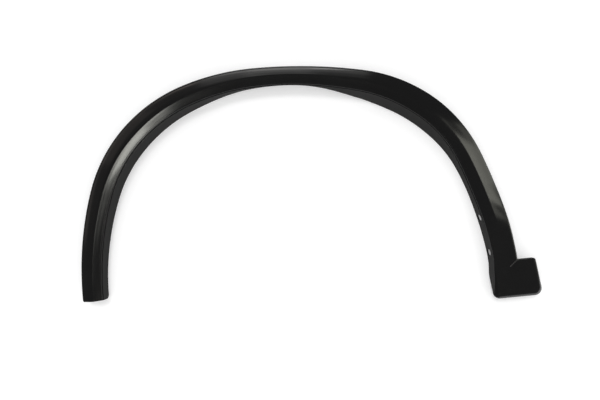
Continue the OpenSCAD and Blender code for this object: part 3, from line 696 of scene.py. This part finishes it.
def plastic(name, dark, light):
    """Moulded plastic between two tones: satin on the face, rougher on upright walls, with grain, drift and wear."""
    m = bpy.data.materials.new(name)
    m.use_nodes = True
    nt = m.node_tree
    bsdf = nt.nodes["Principled BSDF"]
    where = nt.nodes.new("ShaderNodeTexCoord")

    def use(tree):
        """The result of a shared group on the object's coordinates."""
        n = nt.nodes.new("ShaderNodeGroup")
        n.node_tree = tree
        nt.links.new(where.outputs["Object"], n.inputs[0])
        return n.outputs[0]

    def mixed(factor, a, b):
        """Colour mixed from a to b, each a colour or a socket, by the factor."""
        n = add_node(nt, "ShaderNodeMix", Factor=factor)
        n.data_type = "RGBA"
        for socket, v in zip(n.inputs[6:8], (a, b)):
            if isinstance(v, bpy.types.NodeSocket):
                nt.links.new(v, socket)
            else:
                socket.default_value = (*v, 1)
        return n.outputs[2]

    grain, wear, drift = use(GRAIN), use(WEAR), use(DRIFT)
    tone = mixed(drift, dark, light)
    worn = mixed(math_node(nt, "MULTIPLY", wear, WEAR_MOST), tone, WEAR_TONE)
    nt.links.new(worn, bsdf.inputs["Base Color"])

    upness = add_node(nt, "ShaderNodeSeparateXYZ", Vector=where.outputs["Normal"]).outputs["Z"]
    rough = span(nt, upness, WALL_UPNESS, FACE_UPNESS, WALL_ROUGHNESS, FACE_ROUGHNESS)
    rough = math_node(nt, "ADD", rough, span(nt, drift, 0.0, 1.0, -DRIFT_ROUGHNESS, DRIFT_ROUGHNESS))
    rough = math_node(nt, "MULTIPLY_ADD", wear, WEAR_POLISH, rough)
    nt.links.new(rough, bsdf.inputs["Roughness"])

    bump = add_node(nt, "ShaderNodeBump", Height=grain, Strength=GRAIN_STRENGTH, Distance=GRAIN_HEIGHT)
    nt.links.new(bump.outputs[0], bsdf.inputs["Normal"])
    return m


# the raised line gets lighter tones: a painted highlight for the light its rounded top catches
black, highlight_painted_plastic = plastic("black_trim_plastic", *BLACK), plastic("trim_plastic_painted_highlight", *RAISED_LINE_PAINTED_HIGHLIGHT)
for piece in PIECES:
    piece.data.materials.append(highlight_painted_plastic if piece is mitre else black)

# ---------------------------------------------------------------- floor, lights, camera
FLOOR_SIZE, FLOOR_WHITE, FLOOR_GLOW = 8, 0.9, 0.2
bpy.ops.mesh.primitive_plane_add(size=FLOOR_SIZE, location=(0, 0, 0))
floor = bpy.context.object
floor.name = "floor"
paper = bpy.data.materials.new("white_floor")
paper.use_nodes = True
nt = paper.node_tree
nt.nodes.clear()
out = nt.nodes.new("ShaderNodeOutputMaterial")
diffuse = nt.nodes.new("ShaderNodeBsdfDiffuse")
diffuse.inputs["Color"].default_value = (FLOOR_WHITE, FLOOR_WHITE, FLOOR_WHITE, 1)
glow = nt.nodes.new("ShaderNodeEmission")
seen = nt.nodes.new("ShaderNodeLightPath")
add = nt.nodes.new("ShaderNodeAddShader")
camera_or_gloss = math_node(nt, "ADD", seen.outputs["Is Camera Ray"], seen.outputs["Is Glossy Ray"])
nt.links.new(camera_or_gloss, glow.inputs["Strength"])
glow.inputs["Color"].default_value = (FLOOR_GLOW, FLOOR_GLOW, FLOOR_GLOW, 1)
nt.links.new(diffuse.outputs[0], add.inputs[0])
nt.links.new(glow.outputs[0], add.inputs[1])
nt.links.new(add.outputs[0], out.inputs["Surface"])
floor.data.materials.append(paper)

# a room that lights softly from all round, white where the camera sees it, and dim in the gloss but for its windows
ROOM_LIGHT, ROOM_IN_GLOSS = 0.9, 0.11
world = bpy.data.worlds.new("studio")
bpy.context.scene.world = world
world.use_nodes = True
wt = world.node_tree
back = wt.nodes["Background"]
back.inputs["Color"].default_value = (1, 1, 1, 1)
ray = wt.nodes.new("ShaderNodeLightPath")
room = span(wt, ray.outputs["Is Glossy Ray"], 0.0, 1.0, ROOM_LIGHT, ROOM_IN_GLOSS)
wt.links.new(math_node(wt, "MAXIMUM", room, ray.outputs["Is Camera Ray"]), back.inputs["Strength"])

WINDOW_FAR = 5.0         # metres from the part, so that the gloss sees a window in one direction from all over it


def lamp(name, kind, azimuth, zenith, distance=0):
    """Light and its data, at a distance in metres in the direction given in degrees, and shining at the part."""
    data = bpy.data.lights.new(name, kind)
    light = bpy.data.objects.new(name, data)
    bpy.context.scene.collection.objects.link(light)
    way = np.append(np.sin(np.radians(zenith)) * unit(azimuth), np.cos(np.radians(zenith)))
    light.location = way * distance
    light.rotation_euler = Vector(way).to_track_quat("Z", "Y").to_euler()
    return light, data


def soft_sun(name, azimuth, zenith, angle, strength):
    """Soft light from one direction, in degrees, for the shadows; the gloss doesn't show it."""
    light, data = lamp(name, "SUN", azimuth, zenith)
    data.energy, data.angle = strength, np.radians(angle)
    light.visible_glossy = False


def window(name, azimuths, zeniths, wide, tall, color, panes):
    """Window far off that only the gloss shows: a grid of panes by direction and angular size, in degrees.

    Each row of panes gives their radiance at one zenith angle, from the first azimuth to the last.
    """
    width, height = (2 * WINDOW_FAR * np.tan(np.radians(v) / 2) for v in (wide, tall))
    for zenith, row in zip(zeniths, panes):
        for azimuth, radiance in zip(azimuths, row):
            light, data = lamp(name, "AREA", azimuth, zenith, WINDOW_FAR)
            data.shape, data.size, data.size_y, data.color = "RECTANGLE", width, height, color
            data.energy = radiance * np.pi * width * height
            light.visible_diffuse = False


soft_sun("key", 115, 26, 14, 0.55)
window("window_front", (-78, -67, -56, -45), (30, 42, 54), 10, 12, (1.0, 1.0, 0.93),
       ((0.0, 7.6, 2.6, 0.0), (0.2, 3.2, 9.6, 1.2), (0.2, 0.0, 0.0, 0.6)))
window("window_right", (-5, 5, 15), (38, 50, 62), 10, 12, (1.0, 1.0, 0.88),
       ((1.1, 0.0, 0.6), (4.6, 2.6, 0.2), (1.6, 1.9, 0.9)))
window("window_top", (76, 90, 104), (50, 64, 78), 13, 14, (1.0, 0.99, 0.97),
       ((0.3, 0.7, 0.55), (0.7, 1.2, 0.75), (4.0, 2.6, 2.3)))
window("window_left", (124, 146, 168), (56, 74), 22, 18, (1.0, 0.88, 0.82),
       ((0.06, 0.25, 0.03), (1.7, 1.1, 0.35)))

# the camera looks straight down: its place over the part in millimetres about the wheel's axis, its height in
# metres, its turn in degrees, and its lens and sensor
CAMERA_AT, CAMERA_H, CAMERA_TURN, LENS, SENSOR = (26.0, 163.0), 1.05, -5.5, 31.55, 36
cam_data = bpy.data.cameras.new("camera")
cam_data.sensor_width = SENSOR
cam_data.lens = LENS
cam = bpy.data.objects.new("camera", cam_data)
bpy.context.scene.collection.objects.link(cam)
cam.location = (*((CAMERA_AT - middle[:2]) * MM), CAMERA_H)
cam.rotation_euler = (0, 0, np.radians(CAMERA_TURN))
bpy.context.scene.camera = cam

scene = bpy.context.scene
scene.view_settings.view_transform = "Standard"

bpy.context.view_layer.update()
